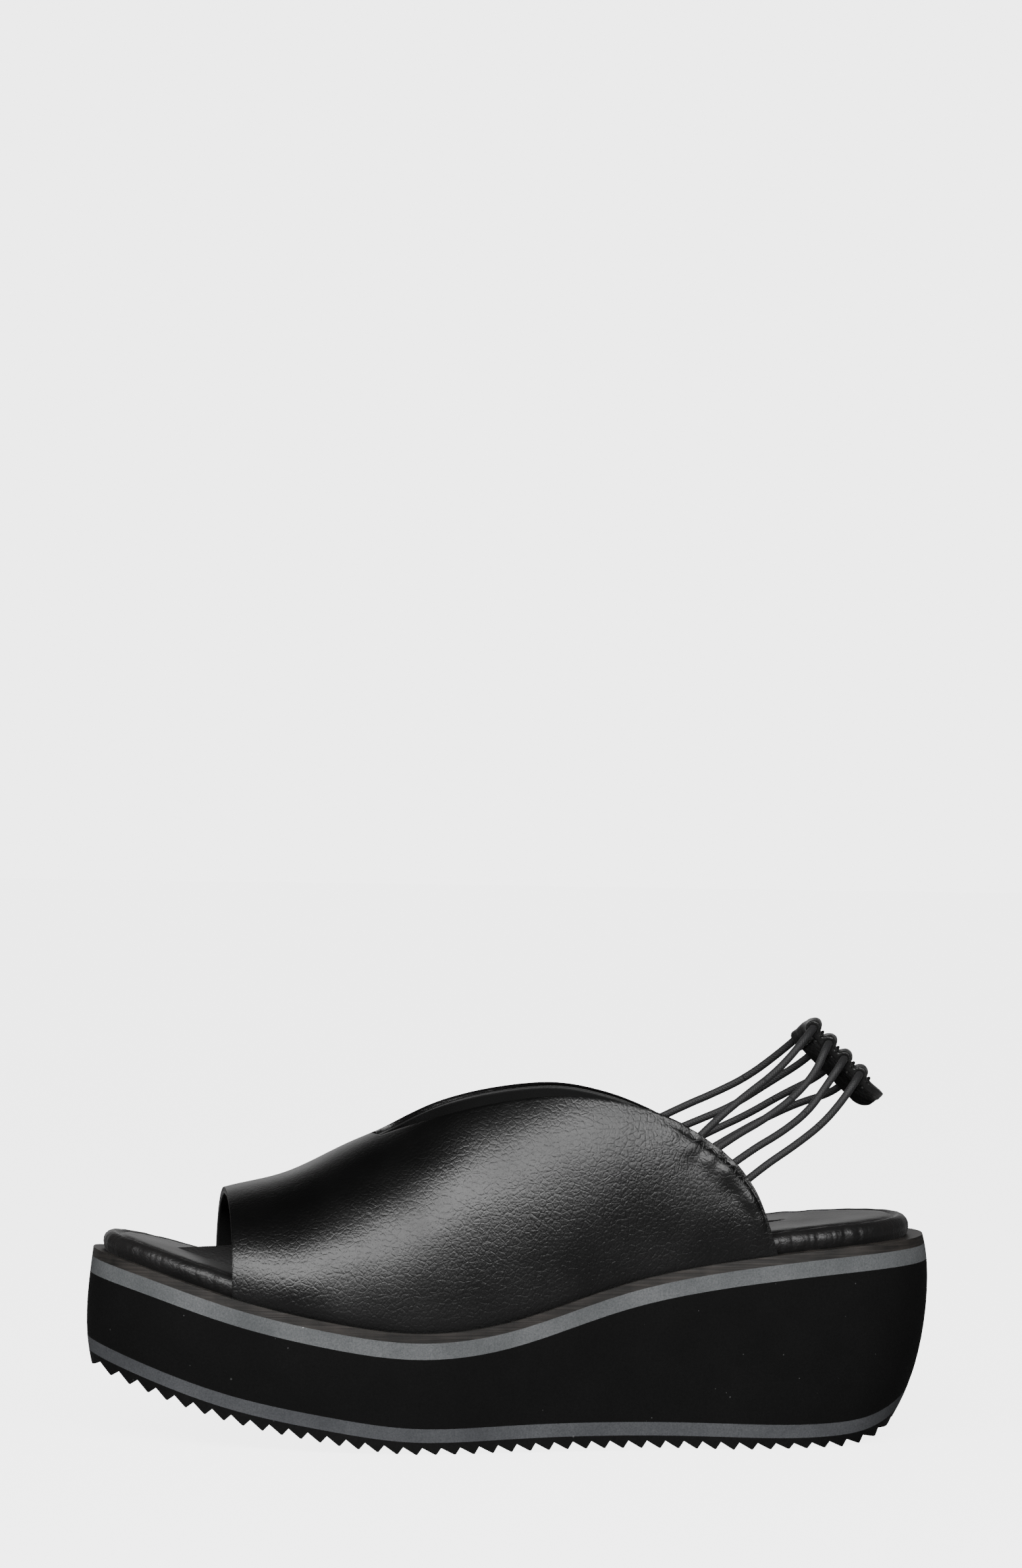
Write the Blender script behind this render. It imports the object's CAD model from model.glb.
import bmesh
import bpy
import numpy as np
from math import cos, pi, radians, sin
from mathutils import Matrix, Vector, noise
from mathutils.bvhtree import BVHTree
from mathutils.kdtree import KDTree


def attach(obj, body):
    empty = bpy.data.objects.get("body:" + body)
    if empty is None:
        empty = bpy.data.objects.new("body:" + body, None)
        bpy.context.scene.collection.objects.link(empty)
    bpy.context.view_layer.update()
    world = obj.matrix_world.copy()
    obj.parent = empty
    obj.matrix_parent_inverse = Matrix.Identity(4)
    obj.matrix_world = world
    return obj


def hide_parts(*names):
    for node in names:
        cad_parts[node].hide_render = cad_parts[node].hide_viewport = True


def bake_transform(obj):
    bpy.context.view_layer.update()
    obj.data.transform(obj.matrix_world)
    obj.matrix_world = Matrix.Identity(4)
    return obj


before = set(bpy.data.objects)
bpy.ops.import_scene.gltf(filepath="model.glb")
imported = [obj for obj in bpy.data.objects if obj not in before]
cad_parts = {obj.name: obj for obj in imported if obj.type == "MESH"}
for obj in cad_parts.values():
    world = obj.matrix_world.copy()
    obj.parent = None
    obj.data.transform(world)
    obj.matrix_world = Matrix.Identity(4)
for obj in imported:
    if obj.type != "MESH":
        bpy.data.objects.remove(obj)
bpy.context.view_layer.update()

# Camera, floor and lights.
# The shoe stands side-on on a plain pale floor, under soft studio light from above and in front.

camera_place = Vector((-0.182, -1.4825, 0.2002))
camera_heading = radians(6.907)
camera_roll = radians(1.0)
ahead = Vector((sin(camera_heading), cos(camera_heading), 0))
rightward = Vector((cos(camera_heading), -sin(camera_heading), 0))
upward = Vector((0, 0, 1))
camera_right = rightward * cos(camera_roll) + upward * sin(camera_roll)
camera_up = upward * cos(camera_roll) - rightward * sin(camera_roll)
camera = bpy.data.objects.new("camera", bpy.data.cameras.new("camera"))
bpy.context.scene.collection.objects.link(camera)
turned = Matrix((camera_right, camera_up, -ahead)).transposed().to_4x4()
camera.matrix_world = Matrix.Translation(camera_place) @ turned
camera.data.lens = 111.4
camera.data.clip_end = 20
bpy.context.scene.camera = camera


def paint(code):
    """A colour from its sRGB hex code."""
    shares = [int(code[i : i + 2], 16) / 255 for i in (1, 3, 5)]
    return (*[s / 12.92 if s <= 0.04045 else ((s + 0.055) / 1.055) ** 2.4 for s in shares], 1)


def add(tree, kind, inputs=(), **settings):
    """A node with its settings, and with each input set to a value or linked to a socket."""
    made = tree.nodes.new(kind)
    for key, value in settings.items():
        setattr(made, key, value)
    for key, value in dict(inputs).items():
        if isinstance(value, bpy.types.NodeSocket):
            tree.links.new(value, made.inputs[key])
        else:
            made.inputs[key].default_value = value
    return made


def finish_of(name, inputs):
    """A material with a Principled shader that has these inputs, and its tree."""
    material = bpy.data.materials.new(name)
    material.use_nodes = True
    tree = material.node_tree
    tree.nodes.clear()
    shader = add(tree, "ShaderNodeBsdfPrincipled", inputs)
    add(tree, "ShaderNodeOutputMaterial", {"Surface": shader.outputs[0]})
    return material, tree, shader


def mesh_piece(name, verts, faces, material, smooth=True):
    """A new piece from vertices in metres and faces."""
    mesh = bpy.data.meshes.new(name)
    mesh.from_pydata([tuple(v) for v in verts], [], faces)
    mesh.update()
    piece = bpy.data.objects.new(name, mesh)
    bpy.context.scene.collection.objects.link(piece)
    mesh.polygons.foreach_set("use_smooth", [smooth] * len(mesh.polygons))
    if material:
        mesh.materials.append(material)
    return piece


floor_finish, floor_tree, floor_shader = finish_of(
    "pale_floor", {"Roughness": 0.9, "Emission Color": paint("#ffffff")}
)
# the floor and the backdrop look white, while little of their light falls back on the shoe
floor_seen = add(floor_tree, "ShaderNodeLightPath").outputs["Is Camera Ray"]
floor_glow = add(floor_tree, "ShaderNodeMapRange", {"Value": floor_seen, "To Min": 0.0, "To Max": 4.0})
floor_tree.links.new(floor_glow.outputs[0], floor_shader.inputs["Emission Strength"])
floor_speckle = add(floor_tree, "ShaderNodeTexNoise", {"Scale": 3.0, "Detail": 2.0})
floor_colour = add(
    floor_tree, "ShaderNodeMix",
    {"Factor": floor_speckle.outputs[0], 6: paint("#7a7a7a"), 7: paint("#808080")}, data_type="RGBA",
)
floor_tree.links.new(floor_colour.outputs[2], floor_shader.inputs["Base Color"])
floor = mesh_piece(
    "floor", [(-6, -4, 0), (6, -4, 0), (6, 8, 0), (-6, 8, 0)], [(0, 1, 2, 3)], floor_finish, False
)

# the studio: a bright white backdrop behind the shoe, in a dim room
world = bpy.data.worlds.new("studio")
world.use_nodes = True
studio_tree = world.node_tree
heading = add(studio_tree, "ShaderNodeTexCoord").outputs["Generated"]
faced = add(studio_tree, "ShaderNodeVectorMath", {0: heading, 1: (0.0, 1.0, 0.0)}, operation="DOT_PRODUCT")
sweep = add(
    studio_tree, "ShaderNodeMapRange",
    {"Value": faced.outputs["Value"], "From Min": 0.86, "From Max": 0.95, "To Min": 0.04, "To Max": 0.9},
)
studio_seen = add(studio_tree, "ShaderNodeLightPath").outputs["Is Camera Ray"]
studio_glow = add(
    studio_tree, "ShaderNodeMix", {"Factor": studio_seen, "A": sweep.outputs[0], "B": 4.2}, data_type="FLOAT"
)
studio = studio_tree.nodes["Background"]
studio.inputs["Color"].default_value = paint("#ffffff")
studio_tree.links.new(studio_glow.outputs[0], studio.inputs["Strength"])
bpy.context.scene.world = world


def softbox(name, place, aim, width, height, power):
    """A rectangular area light in metres and watts, turned towards a point."""
    lamp = bpy.data.lights.new(name, "AREA")
    lamp.shape = "RECTANGLE"
    lamp.size, lamp.size_y, lamp.energy = width, height, power
    stand = bpy.data.objects.new(name, lamp)
    bpy.context.scene.collection.objects.link(stand)
    stand.location = place
    stand.rotation_euler = (Vector(aim) - Vector(place)).to_track_quat("-Z", "Y").to_euler()


softbox("strip_softbox", (-0.20, -1.08, 0.83), (-0.02, 0, 0.07), 2.0, 0.54, 84)
softbox("side_softbox", (-1.2, -0.45, 0.5), (-0.05, 0, 0.06), 0.4, 0.6, 1.6)

# Elastic cords of the sling.
# Four round elastics, a rubber core in a braided black cover, each sewn into the casing of one
# wing, led round the heel through the strip and sewn into the casing of the other wing.

cord_diameter = 0.0024
cord_routes = [
    [
        (48.4, -29.6, 89.3), (57.6, -25.9, 97.8), (67.8, -22.5, 105.9), (79.8, -18.5, 114.3),
        (90.1, -14.0, 125.8), (93.5, -5.1, 128.1), (92.3, 6.9, 125.3), (87.4, 13.0, 119.4),
        (76.5, 18.5, 109.9), (66.0, 21.0, 104.3), (55.5, 22.0, 99.7), (43.5, 23.1, 93.5),
    ],
    [
        (53.7, -29.8, 87.1), (64.4, -26.2, 94.1), (73.5, -23.8, 98.8), (83.0, -20.5, 105.0),
        (91.0, -17.0, 113.0), (94.9, -14.6, 121.1), (98.3, -5.7, 123.4), (97.1, 6.3, 120.6),
        (92.2, 12.4, 114.7), (82.5, 17.6, 107.8), (72.0, 21.0, 100.4), (61.2, 22.4, 95.7),
        (49.1, 24.4, 90.3),
    ],
    [
        (58.6, -30.2, 82.4), (69.4, -26.5, 89.8), (79.5, -23.8, 95.2), (88.5, -20.0, 101.5),
        (94.8, -17.0, 109.6), (99.7, -15.2, 116.4), (103.1, -6.3, 118.8), (101.9, 5.7, 115.9),
        (97.0, 11.8, 110.1), (87.0, 17.2, 104.4), (76.5, 21.0, 97.6), (65.8, 23.3, 92.3),
        (53.9, 25.5, 86.0),
    ],
    [
        (63.0, -30.8, 77.2), (73.3, -26.8, 84.9), (83.5, -25.0, 91.4), (93.0, -21.0, 98.0),
        (99.8, -17.8, 105.2), (104.5, -15.8, 111.7), (107.9, -7.0, 114.1), (106.7, 5.0, 111.3),
        (101.8, 11.1, 105.4), (92.5, 16.8, 102.0), (81.5, 21.3, 96.2), (70.2, 23.7, 89.5),
        (58.6, 26.5, 81.9),
    ],
]
strand_length = 0.036
sling_way = Vector((0.78, 0, 0.627))

braid, braid_tree, braid_shader = finish_of(
    "braided_elastic",
    {"Roughness": 0.6, "Specular IOR Level": 0.25, "Sheen Weight": 0.03, "Sheen Roughness": 0.4},
)
braid_place = add(braid_tree, "ShaderNodeUVMap", uv_map="wrap")
braid_left = add(
    braid_tree, "ShaderNodeMapping",
    {"Vector": braid_place.outputs[0], "Rotation": (0, 0, radians(38)), "Scale": (1700, 1700, 1)},
)
braid_right = add(
    braid_tree, "ShaderNodeMapping",
    {"Vector": braid_place.outputs[0], "Rotation": (0, 0, radians(-38)), "Scale": (1700, 1700, 1)},
)
left_yarn = add(
    braid_tree, "ShaderNodeTexWave", {"Vector": braid_left.outputs[0], "Scale": 0.32, "Distortion": 0.6}
)
right_yarn = add(
    braid_tree, "ShaderNodeTexWave", {"Vector": braid_right.outputs[0], "Scale": 0.32, "Distortion": 0.6}
)
yarn_height = add(
    braid_tree, "ShaderNodeMath",
    {0: left_yarn.outputs["Fac"], 1: right_yarn.outputs["Fac"]}, operation="MAXIMUM",
)
yarn_colour = add(
    braid_tree, "ShaderNodeValToRGB", {"Fac": yarn_height.outputs[0]}
)
yarn_colour.color_ramp.elements[0].color = paint("#020202")
yarn_colour.color_ramp.elements[1].color = paint("#121213")
braid_tree.links.new(yarn_colour.outputs[0], braid_shader.inputs["Base Color"])
yarn_bump = add(
    braid_tree, "ShaderNodeBump",
    {"Height": yarn_height.outputs[0], "Strength": 0.7, "Distance": 0.00012},
)
braid_tree.links.new(yarn_bump.outputs[0], braid_shader.inputs["Normal"])


def route_line(name, route):
    """Points along the smooth line of a cord's route, in metres."""
    line = bpy.data.curves.new(name, "CURVE")
    line.dimensions = "3D"
    line.resolution_u = 24
    spline = line.splines.new("NURBS")
    spline.points.add(len(route) - 1)
    for point, place in zip(spline.points, route):
        point.co = (*(value / 1000 for value in place), 1)
    spline.order_u = 3
    spline.use_endpoint_u = True
    holder = bpy.data.objects.new(name, line)
    bpy.context.scene.collection.objects.link(holder)
    mesh = bpy.data.meshes.new_from_object(holder)
    points = [vertex.co.copy() for vertex in mesh.vertices]
    bpy.data.objects.remove(holder)
    bpy.data.meshes.remove(mesh)
    return points


def cord_tube(name, points, started, sides=18):
    """A closed round tube along points, with its wrap and its length from the start as UVs."""
    radius = cord_diameter / 2
    side = Vector((0, 0, 1)).cross(points[1] - points[0]).normalized()
    verts, along = [], [started]
    for index, point in enumerate(points):
        before, after = points[max(index - 1, 0)], points[min(index + 1, len(points) - 1)]
        tangent = (after - before).normalized()
        side = (side - tangent * side.dot(tangent)).normalized()
        other = tangent.cross(side)
        if index:
            along.append(along[-1] + (point - points[index - 1]).length)
        for turn in range(sides):
            angle = 2 * pi * turn / sides
            verts.append(point + (side * cos(angle) + other * sin(angle)) * radius)
    faces, wraps = [], []
    for ring in range(len(points) - 1):
        for turn in range(sides):
            a, b = ring * sides + turn, ring * sides + (turn + 1) % sides
            faces.append((a, b, b + sides, a + sides))
            low, high = 2 * pi * radius * turn / sides, 2 * pi * radius * (turn + 1) / sides
            near, far = along[ring], along[ring + 1]
            wraps += [(low, near), (high, near), (high, far), (low, far)]
    last = (len(points) - 1) * sides
    faces.append(tuple(range(sides - 1, -1, -1)))
    faces.append(tuple(range(last, last + sides)))
    wraps += [(0, along[0])] * sides + [(0, along[-1])] * sides
    piece = mesh_piece(name, verts, faces, braid)
    layer = piece.data.uv_layers.new(name="wrap")
    layer.data.foreach_set("uv", [value for pair in wraps for value in pair])
    return piece, along[-1] - started


for number, route in enumerate(cord_routes, 1):
    line = route_line(f"cord_{number}_line", route)
    runs = [0.0]
    for one, two in zip(line, line[1:]):
        runs.append(runs[-1] + (two - one).length)
    first = max(index for index, run in enumerate(runs) if run <= strand_length)
    second = min(index for index, run in enumerate(runs) if run >= runs[-1] - strand_length)
    spans = {"lateral": (0, first), "rear": (first, second), "medial": (second, len(line) - 1)}
    for part, (low, high) in spans.items():
        path = line[low : high + 1]
        piece, length = cord_tube(f"elastic_{number}_{part}", path, runs[low])
        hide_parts(f"elastic_cord_{number}")
        if part == "rear":
            middle = path[len(path) // 2]
            ends = (path[0] + path[-1]) / 2
            reach = (middle - ends).dot(sling_way)
            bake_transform(piece)
        else:
            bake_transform(piece)


# Outsole.
# A moulded rubber sheet with a sawtooth tread across it, black, matt and slightly dusty from the
# mould. It is cemented to the foam wedge and trimmed flush with it.


def smooth_copy(name, node, material, sharp=32):
    """A CAD node's shape as one joined mesh, smooth except at its sharp edges."""
    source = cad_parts[node]
    mesh = source.data.copy()
    mesh.transform(source.matrix_world)
    mesh.name = name
    shape = bmesh.new()
    shape.from_mesh(mesh)
    bmesh.ops.remove_doubles(shape, verts=shape.verts, dist=0.000012)
    shape.to_mesh(mesh)
    shape.free()
    mesh.materials.clear()
    mesh.materials.append(material)
    piece = bpy.data.objects.new(name, mesh)
    bpy.context.scene.collection.objects.link(piece)
    mesh.polygons.foreach_set("use_smooth", [True] * len(mesh.polygons))
    mesh.set_sharp_from_angle(angle=radians(sharp))
    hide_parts(node)
    return piece


def foam_finish(name, dark, light, speck, roughness, cell, bumps):
    """Buffed foam rubber: fine cells, cloudy shade and a few pale specks of dust."""
    material, tree, shader = finish_of(name, {"Roughness": roughness, "Specular IOR Level": 0.08})
    place = add(tree, "ShaderNodeTexCoord").outputs["Object"]
    cloud = add(tree, "ShaderNodeTexNoise", {"Vector": place, "Scale": 45.0, "Detail": 5.0, "Roughness": 0.6})
    cells = add(tree, "ShaderNodeTexNoise", {"Vector": place, "Scale": cell, "Detail": 3.0, "Roughness": 0.7})
    blend = add(
        tree, "ShaderNodeMath", {0: cloud.outputs["Fac"], 1: cells.outputs["Fac"], 2: 0.0},
        operation="MULTIPLY_ADD",
    )
    shade = add(tree, "ShaderNodeValToRGB", {"Fac": blend.outputs[0]})
    shade.color_ramp.elements[0].position = 0.12
    shade.color_ramp.elements[1].position = 0.42
    shade.color_ramp.elements[0].color = paint(dark)
    shade.color_ramp.elements[1].color = paint(light)
    dust = add(tree, "ShaderNodeTexVoronoi", {"Vector": place, "Scale": 420.0, "Randomness": 1.0})
    grains = add(tree, "ShaderNodeTexNoise", {"Vector": place, "Scale": 130.0, "Detail": 1.0})
    reach = add(
        tree, "ShaderNodeMapRange",
        {"Value": grains.outputs["Fac"], "From Min": 0.6, "From Max": 0.8, "To Min": 0.0, "To Max": 0.16},
    )
    speckle = add(
        tree, "ShaderNodeMath", {0: dust.outputs["Distance"], 1: reach.outputs[0]}, operation="LESS_THAN"
    )
    mixed = add(
        tree, "ShaderNodeMix",
        {"Factor": speckle.outputs[0], 6: shade.outputs[0], 7: paint(speck)}, data_type="RGBA",
    )
    tree.links.new(mixed.outputs[2], shader.inputs["Base Color"])
    bump = add(
        tree, "ShaderNodeBump", {"Height": cells.outputs["Fac"], "Strength": bumps, "Distance": 0.00015}
    )
    tree.links.new(bump.outputs[0], shader.inputs["Normal"])
    return material


tread_rubber = foam_finish("tread_rubber", "#030303", "#090909", "#222222", 0.72, 900.0, 0.35)
outsole = smooth_copy("outsole_tread", "outsole", tread_rubber, 20)
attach(outsole, "shoe")

# Wedge of foam rubber in three layers.
# Closed-cell sheets, grey, black and grey, cemented in a stack, cut to the outline and buffed.

lower_grey = foam_finish("lower_grey_foam", "#292a2c", "#3c3d3f", "#5a5a5a", 0.85, 1900.0, 0.3)
upper_grey = foam_finish("upper_grey_foam", "#333536", "#4a4b4c", "#6c6c6c", 0.85, 1900.0, 0.3)
black_foam = foam_finish("black_foam", "#020202", "#060606", "#2a2a2a", 0.85, 1400.0, 0.3)


def buffed_wall(mesh, reach=0.005):
    """Shades an upright wall evenly, from the wall within reach of each corner."""
    walls = [face for face in mesh.polygons if abs(face.normal.z) < 0.7]
    samples = []
    for face in walls:
        corners = [mesh.vertices[index].co for index in face.vertices]
        sides = max((one - two).length for one, two in zip(corners, corners[1:] + corners[:1]))
        parts = min(24, int(sides / 0.0015) + 1)
        for one in range(parts):
            for two in range(parts - one):
                a, b = (one + 1 / 3) / parts, (two + 1 / 3) / parts
                place = corners[0] * a + corners[1] * b + corners[2] * (1 - a - b)
                samples.append((place, face.normal * (face.area / parts**2)))
    near = KDTree(len(samples))
    for number, (place, _) in enumerate(samples):
        near.insert(place, number)
    near.balance()
    turned = {}
    normals = [None] * len(mesh.loops)
    for face in mesh.polygons:
        upright = abs(face.normal.z) < 0.7
        for loop in face.loop_indices:
            vertex = mesh.loops[loop].vertex_index
            if upright and vertex not in turned:
                total = face.normal * 1e-9
                for _, number, distance in near.find_range(mesh.vertices[vertex].co, reach):
                    total += samples[number][1] * (1 - distance / reach)
                turned[vertex] = total.normalized()
            normals[loop] = turned[vertex] if upright else face.normal.copy()
    mesh.normals_split_custom_set(normals)


for name, node, material in (
    ("lower_grey_layer", "lower_stripe", lower_grey),
    ("black_wedge", "wedge_core", black_foam),
    ("upper_grey_layer", "upper_stripe", upper_grey),
):
    layer = smooth_copy(name, node, material)
    buffed_wall(layer.data)
    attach(layer, "shoe")

# Rand.
# A strip of leatherboard round the top of the wedge, trimmed square, buffed and stained dark, with
# brush marks that run along it and a paler top edge where the stain wears off.

rand_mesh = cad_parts["rand"].data
rand_tree = BVHTree.FromPolygons(
    [v.co for v in rand_mesh.vertices], [tuple(p.vertices) for p in rand_mesh.polygons]
)
board, board_tree, board_shader = finish_of(
    "stained_leatherboard", {"Roughness": 0.5, "Specular IOR Level": 0.25}
)
board_place = add(board_tree, "ShaderNodeTexCoord").outputs["Object"]
along_edge = add(board_tree, "ShaderNodeMapping", {"Vector": board_place, "Scale": (60, 60, 1900)})
brushing = add(
    board_tree, "ShaderNodeTexNoise", {"Vector": along_edge.outputs[0], "Scale": 1.0, "Detail": 4.0}
)
patches = add(board_tree, "ShaderNodeTexNoise", {"Vector": board_place, "Scale": 110.0, "Detail": 4.0})
board_mix = add(
    board_tree, "ShaderNodeMath", {0: brushing.outputs["Fac"], 1: patches.outputs["Fac"]},
    operation="MULTIPLY",
)
board_shade = add(board_tree, "ShaderNodeValToRGB", {"Fac": board_mix.outputs[0]})
board_shade.color_ramp.elements[0].position = 0.15
board_shade.color_ramp.elements[1].position = 0.4
board_shade.color_ramp.elements[0].color = paint("#0c0b0a")
board_shade.color_ramp.elements[1].color = paint("#221f1d")
board_tree.links.new(board_shade.outputs[0], board_shader.inputs["Base Color"])
board_bump = add(
    board_tree, "ShaderNodeBump", {"Height": brushing.outputs["Fac"], "Strength": 0.4, "Distance": 0.0002}
)
board_tree.links.new(board_bump.outputs[0], board_shader.inputs["Normal"])
rand = smooth_copy("rand_strip", "rand", board)
buffed_wall(rand.data)
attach(rand, "shoe")


def rim_height(x):
    """How high the rand's top face stands at x."""
    return rand_tree.ray_cast(Vector((x, 0, 0.2)), Vector((0, 0, -1)))[0].z


def rim_side(x, side):
    """How far out the rand's edge stands at x, on the lateral (-1) or medial (1) side."""
    return rand_tree.ray_cast(Vector((x, 0, rim_height(x) - 0.0006)), Vector((0, side, 0)))[0].y


# Insole board and footbed foam.
# Pressed fibre board under a pad of soft foam. Both are wrapped in the footbed's leather, so no
# part of them shows from outside.

fibre, fibre_tree, fibre_shader = finish_of("fibre_board", {"Roughness": 0.9})
fibre_place = add(fibre_tree, "ShaderNodeTexCoord").outputs["Object"]
fibres = add(fibre_tree, "ShaderNodeTexNoise", {"Vector": fibre_place, "Scale": 500.0, "Detail": 4.0})
fibre_shade = add(fibre_tree, "ShaderNodeValToRGB", {"Fac": fibres.outputs["Fac"]})
fibre_shade.color_ramp.elements[0].color = paint("#7a5f41")
fibre_shade.color_ramp.elements[1].color = paint("#b0936c")
fibre_tree.links.new(fibre_shade.outputs[0], fibre_shader.inputs["Base Color"])
soft_foam = foam_finish("open_cell_foam", "#2b2b2b", "#454545", "#606060", 0.95, 1500.0, 0.5)
for node, material in (("insole_board", fibre), ("footbed_foam", soft_foam)):
    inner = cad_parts[node]
    inner.data.materials.clear()
    inner.data.materials.append(material)

# Footbed cover.
# Soft brushed leather pulled over the pad and lasted under it: flat on top, a pressed crease a few
# millimetres in, then a rolled side that the pull has gathered into short upright wrinkles.

pad_height = 0.0064
pad_steps = 1440
# the pad's edge under the upper: this share of the rand's half width, less this much
rim_share, lining_room = 1 - 0.003 / 0.097, 0.0031
roll = [
    (0.0009, -0.0006), (0.0003, 0.0008), (0.0000, 0.0022), (0.0001, 0.0036), (0.0006, 0.0048),
    (0.0015, 0.0058), (0.0026, 0.0064), (0.0036, 0.0063), (0.0043, 0.0058), (0.0048, 0.0056),
    (0.0054, 0.0059), (0.0064, 0.0064), (0.0082, 0.0066),
]


def smoothed(values, span, ring=False):
    """The running mean of values over a span of samples."""
    kernel = np.hanning(2 * span + 3)[1:-1]
    kernel /= kernel.sum()
    mode = "wrap" if ring else "reflect"
    return np.convolve(np.pad(values, span, mode=mode), kernel, "valid")


cover_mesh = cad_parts["footbed_cover"].data
# the pad laid flat, so that one level meets its edge all the way round
flat_cover = [
    Vector((v.co.x, v.co.y, v.co.z - rim_height(min(0.127, v.co.x)))) for v in cover_mesh.vertices
]
cover_tree = BVHTree.FromPolygons(flat_cover, [tuple(p.vertices) for p in cover_mesh.polygons])
pad_ring = []
for step in range(pad_steps):
    angle = 2 * pi * step / pad_steps
    # each ray comes in towards a point of the shoe's spine, so that the edge is met evenly
    spine = Vector((0.085 * -cos(angle), 0.0, 0.003))
    heading = Vector((-cos(angle) * 0.42, sin(angle) * 0.9, 0)).normalized()
    found = cover_tree.ray_cast(spine + heading * 0.3, -heading)[0]
    pad_ring.append((found.x, found.y) if found.y * heading.y > 0 else (np.nan, np.nan))
# where a ray slipped past its own side of the pad, the outline runs straight across
pad_ring = np.array(pad_ring)
met = np.flatnonzero(~np.isnan(pad_ring[:, 0]))
pad_ring = np.stack([np.interp(np.arange(pad_steps), met, pad_ring[met, axis]) for axis in (0, 1)], 1)
pad_ring = np.median([np.roll(pad_ring, shift, 0) for shift in range(-12, 13)], axis=0)
# under the upper, the pad stops short of the lining
for place in pad_ring:
    if -0.087 < place[0] < 0.074:
        room = abs(rim_side(place[0], np.sign(place[1]))) * rim_share - lining_room
        place[1] = np.sign(place[1]) * min(abs(place[1]), room)
pad_ring = np.stack([smoothed(pad_ring[:, 0], 14, True), smoothed(pad_ring[:, 1], 14, True)], 1)
step_vectors = np.roll(pad_ring, -1, 0) - np.roll(pad_ring, 1, 0)
step_vectors /= np.linalg.norm(step_vectors, axis=1)[:, None]
inwards = np.stack([step_vectors[:, 1], -step_vectors[:, 0]], 1)
to_spine = np.stack([np.clip(pad_ring[:, 0], -0.075, 0.075), np.zeros(len(pad_ring))], 1) - pad_ring
inwards *= np.sign((inwards * to_spine).sum(1))[:, None]
inwards = np.stack([smoothed(inwards[:, 0], 6, True), smoothed(inwards[:, 1], 6, True)], 1)
girth = np.concatenate([[0], np.cumsum(np.linalg.norm(np.diff(pad_ring, axis=0), axis=1))])

pad_verts = []
for inset, height in roll:
    for index, (x, y) in enumerate(pad_ring):
        gather = 0.45 + 0.9 * np.exp(-((x + 0.092) / 0.022) ** 2) + 0.9 * np.exp(-((x - 0.092) / 0.02) ** 2)
        run = girth[index]
        fold = noise.noise(Vector((run * 330, height * 60, 3.1))) + 0.6 * noise.noise(
            Vector((run * 820, height * 160, 7.7))
        )
        swell = sin(min(1, max(0, height / pad_height)) * pi) if inset < 0.004 else 0.15
        push = 0.00033 * gather * fold * swell
        drift = 0.00025 * noise.noise(Vector((run * 60, 0, 1.3)))
        inner = inset + push + drift
        px, py = x + inwards[index, 0] * inner, y + inwards[index, 1] * inner
        lift = 0.00016 * noise.noise(Vector((run * 210, inset * 300, 9.4))) * gather
        pad_verts.append([px, py, rim_height(max(-0.129, min(0.128, px))) + height + lift])
rings = len(roll)
around = len(pad_ring)
crown = np.array(pad_verts[-around:])
for part in range(1, 15):
    share = part / 15
    for px, py, _ in crown:
        sx = max(-0.082, min(0.082, px * 0.9))
        qx, qy = px + (sx - px) * share, py + (0.0 - py) * share
        dish = 0.0003 * share + 0.00022 * noise.noise(Vector((qx * 45, qy * 45, 2.2)))
        pad_verts.append([qx, qy, rim_height(qx) + roll[-1][1] + dish])
rings += 14
pad_faces = []
for ring in range(rings - 1):
    for index in range(around):
        a, b = ring * around + index, ring * around + (index + 1) % around
        pad_faces.append((a, b, b + around, a + around))


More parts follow.
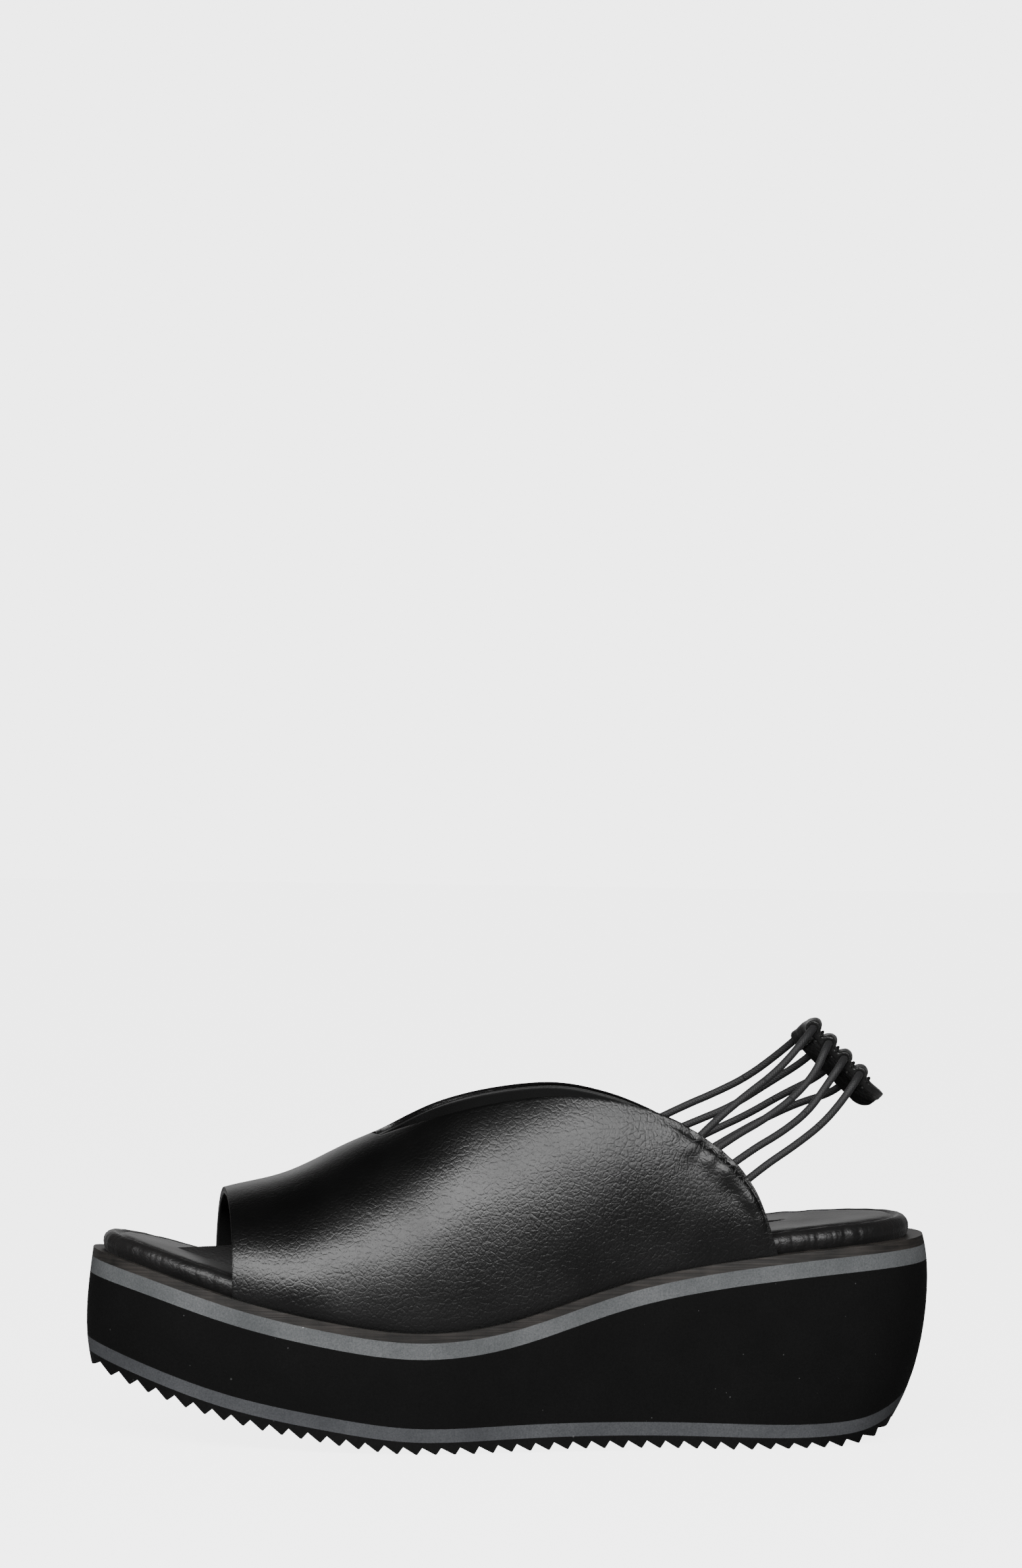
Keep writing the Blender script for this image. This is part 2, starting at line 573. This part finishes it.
def leather_finish(name, dark, light, roughness, sheen, grain, depth, crease):
    """Soft leather: pebbled grain cut by fine creases, cloudy dye and a low sheen."""
    material, tree, shader = finish_of(
        name, {"Specular IOR Level": 0.2, "Sheen Weight": sheen, "Sheen Roughness": 0.5}
    )
    place = add(tree, "ShaderNodeTexCoord").outputs["Object"]
    cloud = add(tree, "ShaderNodeTexNoise", {"Vector": place, "Scale": 38.0, "Detail": 4.0})
    shade = add(tree, "ShaderNodeValToRGB", {"Fac": cloud.outputs["Fac"]})
    shade.color_ramp.elements[0].position = 0.35
    shade.color_ramp.elements[1].position = 0.68
    shade.color_ramp.elements[0].color = paint(dark)
    shade.color_ramp.elements[1].color = paint(light)
    tree.links.new(shade.outputs[0], shader.inputs["Base Color"])
    worn = add(
        tree, "ShaderNodeMapRange",
        {
            "Value": cloud.outputs["Fac"], "From Min": 0.3, "From Max": 0.7,
            "To Min": roughness - 0.04, "To Max": roughness + 0.05,
        },
    )
    tree.links.new(worn.outputs[0], shader.inputs["Roughness"])
    warp = add(tree, "ShaderNodeTexNoise", {"Vector": place, "Scale": grain * 0.35, "Detail": 2.0})
    moved = add(
        tree, "ShaderNodeMix",
        {"Factor": 0.0006, 4: place, 5: warp.outputs["Color"]}, data_type="VECTOR",
    )
    pebbles = add(
        tree, "ShaderNodeTexVoronoi", {"Vector": moved.outputs[1], "Scale": grain}, feature="SMOOTH_F1"
    )
    pebbles.inputs["Smoothness"].default_value = 0.35
    creases = add(
        tree, "ShaderNodeTexVoronoi", {"Vector": moved.outputs[1], "Scale": grain * 0.42},
        feature="DISTANCE_TO_EDGE",
    )
    cut = add(
        tree, "ShaderNodeMapRange",
        {
            "Value": creases.outputs["Distance"], "From Min": 0.0, "From Max": 0.12,
            "To Min": crease, "To Max": 0.0,
        },
    )
    fine = add(tree, "ShaderNodeTexNoise", {"Vector": place, "Scale": grain * 3.5, "Detail": 2.0})
    raised = add(
        tree, "ShaderNodeMath", {0: fine.outputs["Fac"], 1: 0.35, 2: pebbles.outputs["Distance"]},
        operation="MULTIPLY_ADD",
    )
    height = add(tree, "ShaderNodeMath", {0: raised.outputs[0], 1: cut.outputs[0]}, operation="ADD")
    bump = add(
        tree, "ShaderNodeBump", {"Height": height.outputs[0], "Strength": 0.45, "Distance": depth}, invert=True
    )
    tree.links.new(bump.outputs[0], shader.inputs["Normal"])
    return material


cover_leather = leather_finish("brushed_cover_leather", "#050505", "#0a0909", 0.42, 0.03, 1100.0, 0.00014, 0.4)
footbed = mesh_piece("footbed_cover_leather", pad_verts, pad_faces, cover_leather)
shape = bmesh.new()
shape.from_mesh(footbed.data)
open_edges = [edge for edge in shape.edges if len(edge.link_faces) == 1]
bmesh.ops.triangle_fill(shape, use_beauty=True, edges=open_edges)
bmesh.ops.recalc_face_normals(shape, faces=shape.faces)
for face in shape.faces:
    face.smooth = True
shape.to_mesh(footbed.data)
shape.free()
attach(footbed, "shoe")
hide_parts("footbed_cover")

# Vamp.
# One panel of smooth black leather, raw-cut round the toe opening, the throat and the two wings,
# pulled over the last and cemented under the footbed. A thinner lining leather backs all of it.

leather_thickness = 0.0013
lining_thickness = 0.0008
toe_edge = -0.0882
throat = -0.0440
ridge_rise = [
    (-98.0, 23.0), (-88.0, 29.5), (-70.0, 38.3), (-49.0, 52.4), (-36.0, 60.0),
    (-20.0, 71.0), (0.0, 76.5), (24.0, 78.5), (50.0, 68.0), (88.0, 46.0),
]
wing_top = [
    (-47.5, 90.2), (-35.0, 95.3), (-18.0, 101.2), (0.0, 105.1), (14.0, 106.2), (30.0, 104.3),
    (42.0, 100.9), (55.5, 93.7), (64.6, 86.4), (69.2, 80.6), (72.8, 73.2), (75.2, 66.0),
    (78.6, 55.0),
]
roundness = 2.2


def line_through(points):
    """A smooth height line through points given in millimetres, for an x in metres."""
    xs = np.array([x for x, _ in points]) / 1000
    zs = np.array([z for _, z in points]) / 1000
    gaps, count = np.diff(xs), len(xs)
    system, right = np.eye(count), np.zeros(count)
    for n in range(1, count - 1):
        system[n, n - 1 : n + 2] = gaps[n - 1], 2 * (gaps[n - 1] + gaps[n]), gaps[n]
        right[n] = 6 * ((zs[n + 1] - zs[n]) / gaps[n] - (zs[n] - zs[n - 1]) / gaps[n - 1])
    bends = np.linalg.solve(system, right)

    def height(x):
        n = int(np.clip(np.searchsorted(xs, x) - 1, 0, count - 2))
        a, b = (xs[n + 1] - x) / gaps[n], (x - xs[n]) / gaps[n]
        curve = ((a**3 - a) * bends[n] + (b**3 - b) * bends[n + 1]) * gaps[n] ** 2 / 6
        return a * zs[n] + b * zs[n + 1] + curve

    return height


ridge_line = line_through(ridge_rise)
wing_line = line_through(wing_top)
survey = np.linspace(-0.100, 0.090, 191)
survey_rim = smoothed(np.array([rim_height(x) for x in survey]), 3)
survey_sides = {
    side: smoothed(np.array([rim_side(x, side) for x in survey]), 7) * (1 - 0.003 / 0.097) for side in (-1, 1)
}


def upper_point(x, turn, skin, side):
    """A point of the upper, from its foot (0) on one side to the ridge (90 degrees)."""
    rim = np.interp(x, survey, survey_rim)
    lateral, medial = (np.interp(x, survey, survey_sides[s]) for s in (-1, 1))
    out = abs(cos(radians(turn))) ** (2 / roundness)
    rise = sin(radians(turn)) ** (2 / roundness)
    y = (lateral + medial) / 2 + side * ((medial - lateral) / 2 - skin) * out
    return Vector((x, y, rim + (ridge_line(x) - skin) * rise))


def edge_turn(x, side):
    """How far up the arch the leather reaches at x. The medial wing is cut a little higher."""
    if x <= throat:
        return 90.0
    rim = np.interp(x, survey, survey_rim)
    extra = 0.0014 * max(0.0, 1 - ((x + 0.002) / 0.042) ** 2) if side > 0 else 0.0
    rise = min(1.0, max(0.0, (wing_line(x) + extra - rim) / ridge_line(x)))
    turn = np.degrees(np.arcsin(min(1.0, rise ** (roundness / 2))))
    open_share = min(1.0, (x - throat) / 0.0022)
    open_share = open_share * open_share * (3 - 2 * open_share)
    return 90 + (turn - 90) * open_share


def leather_push(point, from_edge):
    """How far the leather stands out from the last here: slack, a stitched groove and puckers."""
    slack = 0.00045 * noise.noise(point * 26 + Vector((3, 1, 8))) + 0.00016 * noise.noise(point * 70)
    wing = max(0.0, min(1.0, (point.x - 0.040) / 0.012)) * max(0.0, min(1.0, (0.0745 - point.x) / 0.006))
    groove = -0.00028 * np.exp(-(((from_edge - 0.0021) / 0.00075) ** 2))
    run = point.x * 0.76 - point.z * 0.65
    gather = 0.00016 * sin(run * 2 * pi / 0.0078 + 3.5 * noise.noise(point * 90)) * np.exp(
        -((from_edge - 0.0035) / 0.006) ** 2
    ) + 0.0005 * noise.noise(point * 105 + Vector((9, 2, 4))) * np.exp(-(((from_edge - 0.007) / 0.007) ** 2))
    band = 0.0005 * np.exp(-(((from_edge - 0.0062) / 0.0035) ** 2))
    return slack + wing * (groove + gather + band)


rear = min(
    x for x in np.linspace(0.070, 0.080, 201)
    if wing_line(x) - np.interp(x, survey, survey_rim) < 0.0002
)
stations = np.concatenate(
    [
        np.linspace(toe_edge, -0.0505, 58, endpoint=False),
        np.linspace(-0.0505, -0.041, 38, endpoint=False),
        np.linspace(-0.041, 0.050, 92, endpoint=False),
        np.linspace(0.050, 0.069, 40, endpoint=False),
        np.linspace(0.069, rear, 42),
    ]
)
rows = 46


def upper_skin(name, depth, thickness, material):
    """A layer of the upper, this deep below its outer surface and this thick."""
    verts, faces = [], []
    for side in (-1, 1):
        start = len(verts)
        for x in stations:
            top = edge_turn(x, side)
            foot = upper_point(x, 0, depth, side)
            column = [upper_point(x, top * row / rows, depth, side) for row in range(1, rows + 1)]
            crest = upper_point(x, top, 0, side)
            verts.append(foot - Vector((0, side * 0.0003, 0.0012)))
            for point in column:
                surface = Vector((point.x, point.y, point.z))
                middle = Vector((x, 0, np.interp(x, survey, survey_rim)))
                away = (surface - middle).normalized()
                reach = (surface - crest).length if x > throat else 1.0
                verts.append(surface + away * leather_push(surface, reach))
        for station in range(len(stations) - 1):
            for row in range(rows):
                a = start + station * (rows + 1) + row
                b = a + rows + 1
                faces.append((a, b, b + 1, a + 1) if side < 0 else (a, a + 1, b + 1, b))
    piece = mesh_piece(name, verts, faces, material)
    shape = bmesh.new()
    shape.from_mesh(piece.data)
    bmesh.ops.remove_doubles(shape, verts=shape.verts, dist=0.00002)
    bmesh.ops.recalc_face_normals(shape, faces=shape.faces)
    shape.faces.ensure_lookup_table()
    top_face = max(shape.faces, key=lambda f: f.calc_center_median().z)
    if top_face.normal.z < 0:
        bmesh.ops.reverse_faces(shape, faces=shape.faces)
    shape.to_mesh(piece.data)
    shape.free()
    wall = piece.modifiers.new("thickness", "SOLIDIFY")
    wall.thickness, wall.offset = thickness, -1
    wall.use_even_offset = True
    return piece


vamp_leather = leather_finish("vamp_nappa", "#020202", "#040404", 0.33, 0.0, 1150.0, 0.00011, 0.5)
vamp = upper_skin("vamp_leather_panel", 0.0, leather_thickness, vamp_leather)
edge_round = vamp.modifiers.new("cut_edge", "BEVEL")
edge_round.limit_method, edge_round.angle_limit = "ANGLE", radians(55)
edge_round.width, edge_round.segments = 0.0003, 2
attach(vamp, "shoe")
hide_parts("vamp_leather")

lining_leather = leather_finish("lining_leather", "#080808", "#0e0e0e", 0.55, 0.04, 1500.0, 0.00008, 0.3)
lining = upper_skin("vamp_lining_panel", leather_thickness + 0.00003, lining_thickness, lining_leather)
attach(lining, "shoe")
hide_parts("vamp_lining")

# Casings and their stitching.
# A folded leather tape inside each wing's rear edge grips the elastics' ends. It is sewn through
# the wing by hand-guided oblique stitches of heavy thread, a little ragged.

tape_leather = leather_finish("tape_leather", "#070707", "#0e0e0e", 0.5, 0.04, 1300.0, 0.0001, 0.4)
for side_name in ("lateral", "medial"):
    casing = smooth_copy(f"{side_name}_casing_tape", f"{side_name}_casing", tape_leather)
    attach(casing, "shoe")

thread, thread_tree, thread_shader = finish_of(
    "bonded_thread", {"Roughness": 0.5, "Specular IOR Level": 0.25}
)
thread_place = add(thread_tree, "ShaderNodeTexCoord").outputs["Object"]
thread_tilt = add(
    thread_tree, "ShaderNodeMapping",
    {"Vector": thread_place, "Rotation": (0.5, 0.6, 0.3), "Scale": (900, 900, 900)},
)
plies = add(
    thread_tree, "ShaderNodeTexWave", {"Vector": thread_tilt.outputs[0], "Scale": 0.9, "Distortion": 1.0}
)
ply_shade = add(thread_tree, "ShaderNodeValToRGB", {"Fac": plies.outputs["Fac"]})
ply_shade.color_ramp.elements[0].color = paint("#020202")
ply_shade.color_ramp.elements[1].color = paint("#0b0b0b")
thread_tree.links.new(ply_shade.outputs[0], thread_shader.inputs["Base Color"])
ply_bump = add(
    thread_tree, "ShaderNodeBump", {"Height": plies.outputs["Fac"], "Strength": 0.6, "Distance": 0.0001}
)
thread_tree.links.new(ply_bump.outputs[0], thread_shader.inputs["Normal"])


def stitch_tree():
    """Lays a bowed stitch of thread on each point, along its run and out from its leather."""
    tree = bpy.data.node_groups.new("thread_stitches", "GeometryNodeTree")
    tree.interface.new_socket("Geometry", in_out="INPUT", socket_type="NodeSocketGeometry")
    for socket, value in (("Length", 0.0024), ("Thickness", 0.0007), ("Raggedness", 0.3)):
        made = tree.interface.new_socket(socket, in_out="INPUT", socket_type="NodeSocketFloat")
        made.default_value = value
    tree.interface.new_socket("Geometry", in_out="OUTPUT", socket_type="NodeSocketGeometry")
    given = add(tree, "NodeGroupInput")
    half = add(tree, "ShaderNodeMath", {0: given.outputs["Length"], 1: 0.5}, operation="MULTIPLY")
    back = add(tree, "ShaderNodeMath", {0: given.outputs["Length"], 1: -0.5}, operation="MULTIPLY")
    bow = add(tree, "ShaderNodeMath", {0: given.outputs["Thickness"], 1: 1.2}, operation="MULTIPLY")
    sunk = add(tree, "ShaderNodeMath", {0: given.outputs["Thickness"], 1: -0.45}, operation="MULTIPLY")
    start = add(tree, "ShaderNodeCombineXYZ", {"X": back.outputs[0], "Z": sunk.outputs[0]})
    middle = add(tree, "ShaderNodeCombineXYZ", {"Z": bow.outputs[0]})
    end = add(tree, "ShaderNodeCombineXYZ", {"X": half.outputs[0], "Z": sunk.outputs[0]})
    arc = add(
        tree, "GeometryNodeCurveQuadraticBezier",
        {"Resolution": 6, "Start": start.outputs[0], "Middle": middle.outputs[0], "End": end.outputs[0]},
    )
    girth = add(tree, "ShaderNodeMath", {0: given.outputs["Thickness"], 1: 0.5}, operation="MULTIPLY")
    section = add(tree, "GeometryNodeCurvePrimitiveCircle", {"Resolution": 8, "Radius": girth.outputs[0]})
    tube = add(
        tree, "GeometryNodeCurveToMesh",
        {"Curve": arc.outputs["Curve"], "Profile Curve": section.outputs["Curve"], "Fill Caps": True},
    )
    run = add(tree, "GeometryNodeInputNamedAttribute", {"Name": "run"}, data_type="FLOAT_VECTOR")
    out = add(tree, "GeometryNodeInputNamedAttribute", {"Name": "out"}, data_type="FLOAT_VECTOR")
    facing = add(
        tree, "FunctionNodeAlignRotationToVector", {"Vector": out.outputs["Attribute"]}, axis="Z"
    )
    aimed = add(
        tree, "FunctionNodeAlignRotationToVector",
        {"Rotation": facing.outputs[0], "Vector": run.outputs["Attribute"]}, axis="X", pivot_axis="Z",
    )
    sway_limit = add(tree, "ShaderNodeMath", {0: given.outputs["Raggedness"], 1: -1.0}, operation="MULTIPLY")
    sway = add(
        tree, "FunctionNodeRandomValue",
        {"Min": sway_limit.outputs[0], "Max": given.outputs["Raggedness"], "Seed": 7}, data_type="FLOAT",
    )
    # the random value node keeps one socket set for each data type
    for socket in sway.inputs:
        if socket.name == "Seed":
            socket.default_value = 7
    swayed = add(tree, "FunctionNodeAxisAngleToRotation", {"Axis": (0, 0, 1)})
    tree.links.new([s for s in sway.outputs if s.enabled][0], swayed.inputs["Angle"])
    turned = add(
        tree, "FunctionNodeRotateRotation",
        {"Rotation": aimed.outputs[0], "Rotate By": swayed.outputs[0]}, rotation_space="LOCAL",
    )
    laid = add(
        tree, "GeometryNodeInstanceOnPoints",
        {"Points": given.outputs["Geometry"], "Instance": tube.outputs[0], "Rotation": turned.outputs[0]},
    )
    real = add(tree, "GeometryNodeRealizeInstances", {"Geometry": laid.outputs[0]})
    rounded = add(tree, "GeometryNodeSetShadeSmooth", {"Geometry": real.outputs[0]})
    painted = add(tree, "GeometryNodeSetMaterial", {"Geometry": rounded.outputs[0], "Material": thread})
    add(tree, "NodeGroupOutput", {"Geometry": painted.outputs[0]})
    return tree


stitches = stitch_tree()


def sewn(name, places, runs, outs, length, thickness, ragged, node, body):
    """A row of stitches as one piece, which stands for a CAD node."""
    mesh = bpy.data.meshes.new(name + "_points")
    mesh.from_pydata([tuple(p) for p in places], [], [])
    for key, values in (("run", runs), ("out", outs)):
        attribute = mesh.attributes.new(key, "FLOAT_VECTOR", "POINT")
        attribute.data.foreach_set("vector", [c for v in values for c in v])
    holder = bpy.data.objects.new(name + "_points", mesh)
    bpy.context.scene.collection.objects.link(holder)
    modifier = holder.modifiers.new("stitches", "NODES")
    modifier.node_group = stitches
    sockets = {item.name: item.identifier for item in stitches.interface.items_tree if item.in_out == "INPUT"}
    modifier[sockets["Length"]] = length
    modifier[sockets["Thickness"]] = thickness
    modifier[sockets["Raggedness"]] = ragged
    bpy.context.view_layer.update()
    evaluated = holder.evaluated_get(bpy.context.evaluated_depsgraph_get())
    plain = bpy.data.meshes.new_from_object(evaluated)
    plain.name = name
    bpy.data.objects.remove(holder)
    piece = bpy.data.objects.new(name, plain)
    bpy.context.scene.collection.objects.link(piece)
    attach(piece, body)
    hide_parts(node)
    return piece


for side, side_name, first, last in ((-1, "lateral", 0.0518, 0.0700), (1, "medial", 0.0480, 0.0665)):
    edge_line = [
        upper_point(x, edge_turn(x, side), 0, side) for x in np.linspace(first - 0.004, last + 0.006, 240)
    ]
    places, runs, outs = [], [], []
    travelled, due = 0.0, 0.003
    for before, after in zip(edge_line, edge_line[1:]):
        travelled += (after - before).length
        if travelled < due or not first <= after.x <= last:
            continue
        due = travelled + 0.0021
        along = (after - before).normalized()
        under = upper_point(after.x, edge_turn(after.x, side) - 3.0, 0, side)
        down = (under - after).normalized()
        inward = (down - along * down.dot(along)).normalized()
        outward = along.cross(inward)
        if outward.y * side < 0:
            outward = -outward
        spot = after + inward * 0.0021
        places.append(spot + outward * (leather_push(spot, 0.0021) + 0.00002))
        zigzag = 0.95 if len(places) % 2 else -0.75
        runs.append((along + inward * zigzag).normalized())
        outs.append(outward)
    sewn(
        f"{side_name}_wing_stitches", places, runs, outs, 0.0029, 0.0008, 0.4,
        f"{side_name}_casing_stitching", "shoe",
    )

# Heel strip.
# A leather strap folded in two over the elastics and sewn between them, so that the outer layer
# stands up in a roll over each cord while the inner layer lies flat against the heel.

strip_leather = leather_finish("strip_leather", "#060606", "#0d0d0d", 0.42, 0.04, 1300.0, 0.00012, 0.6)
raw_strip = smooth_copy("heel_strip_blank", "heel_strip", strip_leather)
fine_cells = raw_strip.modifiers.new("cells", "REMESH")
fine_cells.mode, fine_cells.voxel_size = "VOXEL", 0.00034
fine_cells.use_smooth_shade = True
soft_edges = raw_strip.modifiers.new("soft_edges", "SMOOTH")
soft_edges.factor, soft_edges.iterations = 0.5, 4
bpy.context.view_layer.update()
strip_mesh = bpy.data.meshes.new_from_object(raw_strip.evaluated_get(bpy.context.evaluated_depsgraph_get()))
strip_mesh.name = "heel_strip_strap"
bpy.data.objects.remove(raw_strip)
strip = bpy.data.objects.new("heel_strip_strap", strip_mesh)
bpy.context.scene.collection.objects.link(strip)
strip_centre = Vector((0.0929, 0.0009, 0.1267))
strip_along = Vector((0.713, -0.092, -0.694)).normalized()
strip_across = Vector((0.097, -0.969, 0.229))
strip_across = (strip_across - strip_along * strip_across.dot(strip_along)).normalized()
strip_out = strip_across.cross(strip_along)
strip_bend = 0.018
tab_start, tab_end, tab_middle = 0.0226, 0.0309, radians(-2)
normals = [vertex.normal.copy() for vertex in strip_mesh.vertices]
for vertex, normal in zip(strip_mesh.vertices, normals):
    wrinkle = 0.00026 * noise.noise(vertex.co * 240) + 0.0001 * noise.noise(vertex.co * 700)
    moved = vertex.co + normal * wrinkle
    # along the strip, and by its bend, the far edge lies closer in and the tab's end is round
    away = moved - (strip_centre - strip_out * strip_bend)
    run, across, out = away.dot(strip_along), away.dot(strip_across), away.dot(strip_out)
    angle, reach = np.arctan2(across, out), (across**2 + out**2) ** 0.5
    if angle < 0:
        angle *= 0.88
    if run > tab_start:
        share = min(1.0, (run - tab_start) / (tab_end - tab_start))
        bluntness = 2.6 if angle > tab_middle else 5.0
        angle = tab_middle + (angle - tab_middle) * max(0.3, (1 - share**bluntness) ** 0.5)
    middle = strip_centre - strip_out * strip_bend + strip_along * run
    vertex.co = middle + (strip_out * cos(angle) + strip_across * sin(angle)) * reach
strip_mesh.polygons.foreach_set("use_smooth", [True] * len(strip_mesh.polygons))
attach(strip, "heel_strip")
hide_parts("heel_strip")

places, runs, outs = [], [], []
for row in range(4):
    for number in range(9):
        angle = radians(-31 + 67 * number / 8)
        for level, sign in ((0.00035, 1), (-0.00238, -1)):
            reach = strip_bend + level
            heading = strip_out * cos(angle) + strip_across * sin(angle)
            base = strip_centre - strip_out * strip_bend + strip_along * 0.00673 * (row + 0.5)
            places.append(base + heading * reach)
            runs.append(strip_across * cos(angle) - strip_out * sin(angle))
            outs.append(heading * sign)
sewn("heel_strip_stitches", places, runs, outs, 0.0024, 0.0006, 0.15, "heel_strip_stitching", "heel_strip")
